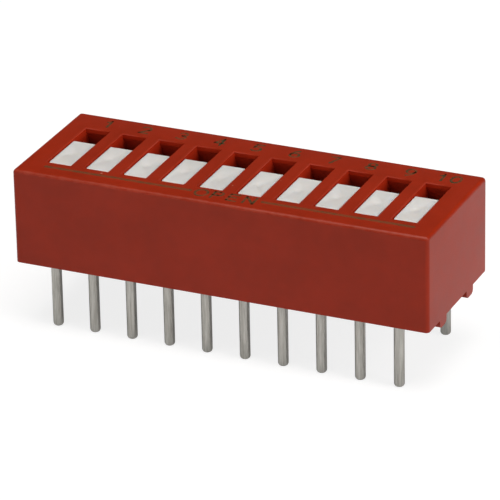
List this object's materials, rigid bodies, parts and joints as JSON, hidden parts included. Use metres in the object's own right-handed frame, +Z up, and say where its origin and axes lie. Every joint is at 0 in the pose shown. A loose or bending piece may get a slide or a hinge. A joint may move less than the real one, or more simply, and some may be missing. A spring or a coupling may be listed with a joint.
{
  "type": "dip switch",
  "caption": "Through-hole DIP switch: a low red moulded body with a row of recessed white rockers in its top and two rows of round wire pins below.",
  "frame": {"origin": "under the middle of the body, in the plane of the pin tips", "axes": "+X along the row of stations from 1 to 10, +Y towards the numbered side, +Z up"},
  "size_m": [0.0274, 0.0096, 0.0106],
  "materials": {
    "red_body": "satin moulded red plastic",
    "resin": "poured dark resin, level and slightly glossy",
    "contact_plating": "bright gold-coloured contact plating",
    "pin_tin": "tinned wire, drawn lengthwise",
    "white_rocker": "satin natural-white plastic",
    "spring_steel": "bright spring wire"
  },
  "bodies": {
    "body": {"housing": "red_body", "base_plate": "red_body", "bottom_seal": "resin", "contacts_front": "contact_plating", "contacts_rear": "contact_plating", "pin_front_1": "pin_tin", "pin_front_2": "pin_tin", "pin_front_3": "pin_tin", "pin_front_4": "pin_tin", "pin_front_5": "pin_tin", "pin_front_6": "pin_tin", "pin_front_7": "pin_tin", "pin_front_8": "pin_tin", "pin_front_9": "pin_tin", "pin_front_10": "pin_tin", "pin_rear_1": "pin_tin", "pin_rear_2": "pin_tin", "pin_rear_3": "pin_tin", "pin_rear_4": "pin_tin", "pin_rear_5": "pin_tin", "pin_rear_6": "pin_tin", "pin_rear_7": "pin_tin", "pin_rear_8": "pin_tin", "pin_rear_9": "pin_tin", "pin_rear_10": "pin_tin"},
    "switch_1": {"rocker_1": "white_rocker", "spring_1": "spring_steel", "ball_1": "contact_plating"},
    "switch_2": {"rocker_2": "white_rocker", "spring_2": "spring_steel", "ball_2": "contact_plating"},
    "switch_3": {"rocker_3": "white_rocker", "spring_3": "spring_steel", "ball_3": "contact_plating"},
    "switch_4": {"rocker_4": "white_rocker", "spring_4": "spring_steel", "ball_4": "contact_plating"},
    "switch_5": {"rocker_5": "white_rocker", "spring_5": "spring_steel", "ball_5": "contact_plating"},
    "switch_6": {"rocker_6": "white_rocker", "spring_6": "spring_steel", "ball_6": "contact_plating"},
    "switch_7": {"rocker_7": "white_rocker", "spring_7": "spring_steel", "ball_7": "contact_plating"},
    "switch_8": {"rocker_8": "white_rocker", "spring_8": "spring_steel", "ball_8": "contact_plating"},
    "switch_9": {"rocker_9": "white_rocker", "spring_9": "spring_steel", "ball_9": "contact_plating"},
    "switch_10": {"rocker_10": "white_rocker", "spring_10": "spring_steel", "ball_10": "contact_plating"}
  },
  "joints": [
    {"name": "rocker_1_pivot", "type": "hinge", "parent": "body", "child": "switch_1", "pos_m": [-0.01143, -0.00015, 0.00826], "axis": [1, 0, 0], "range_deg": [0, 42]},
    {"name": "rocker_2_pivot", "type": "hinge", "parent": "body", "child": "switch_2", "pos_m": [-0.00889, -0.00015, 0.00826], "axis": [1, 0, 0], "range_deg": [0, 42]},
    {"name": "rocker_3_pivot", "type": "hinge", "parent": "body", "child": "switch_3", "pos_m": [-0.00635, -0.00015, 0.00826], "axis": [1, 0, 0], "range_deg": [0, 42]},
    {"name": "rocker_4_pivot", "type": "hinge", "parent": "body", "child": "switch_4", "pos_m": [-0.00381, -0.00015, 0.00826], "axis": [1, 0, 0], "range_deg": [0, 42]},
    {"name": "rocker_5_pivot", "type": "hinge", "parent": "body", "child": "switch_5", "pos_m": [-0.00127, -0.00015, 0.00826], "axis": [1, 0, 0], "range_deg": [0, 42]},
    {"name": "rocker_6_pivot", "type": "hinge", "parent": "body", "child": "switch_6", "pos_m": [0.00127, -0.00015, 0.00826], "axis": [1, 0, 0], "range_deg": [0, 42]},
    {"name": "rocker_7_pivot", "type": "hinge", "parent": "body", "child": "switch_7", "pos_m": [0.00381, -0.00015, 0.00826], "axis": [1, 0, 0], "range_deg": [0, 42]},
    {"name": "rocker_8_pivot", "type": "hinge", "parent": "body", "child": "switch_8", "pos_m": [0.00635, -0.00015, 0.00826], "axis": [1, 0, 0], "range_deg": [0, 42]},
    {"name": "rocker_9_pivot", "type": "hinge", "parent": "body", "child": "switch_9", "pos_m": [0.00889, -0.00015, 0.00826], "axis": [1, 0, 0], "range_deg": [0, 42]},
    {"name": "rocker_10_pivot", "type": "hinge", "parent": "body", "child": "switch_10", "pos_m": [0.01143, -0.00015, 0.00826], "axis": [1, 0, 0], "range_deg": [0, 42]}
  ]
}
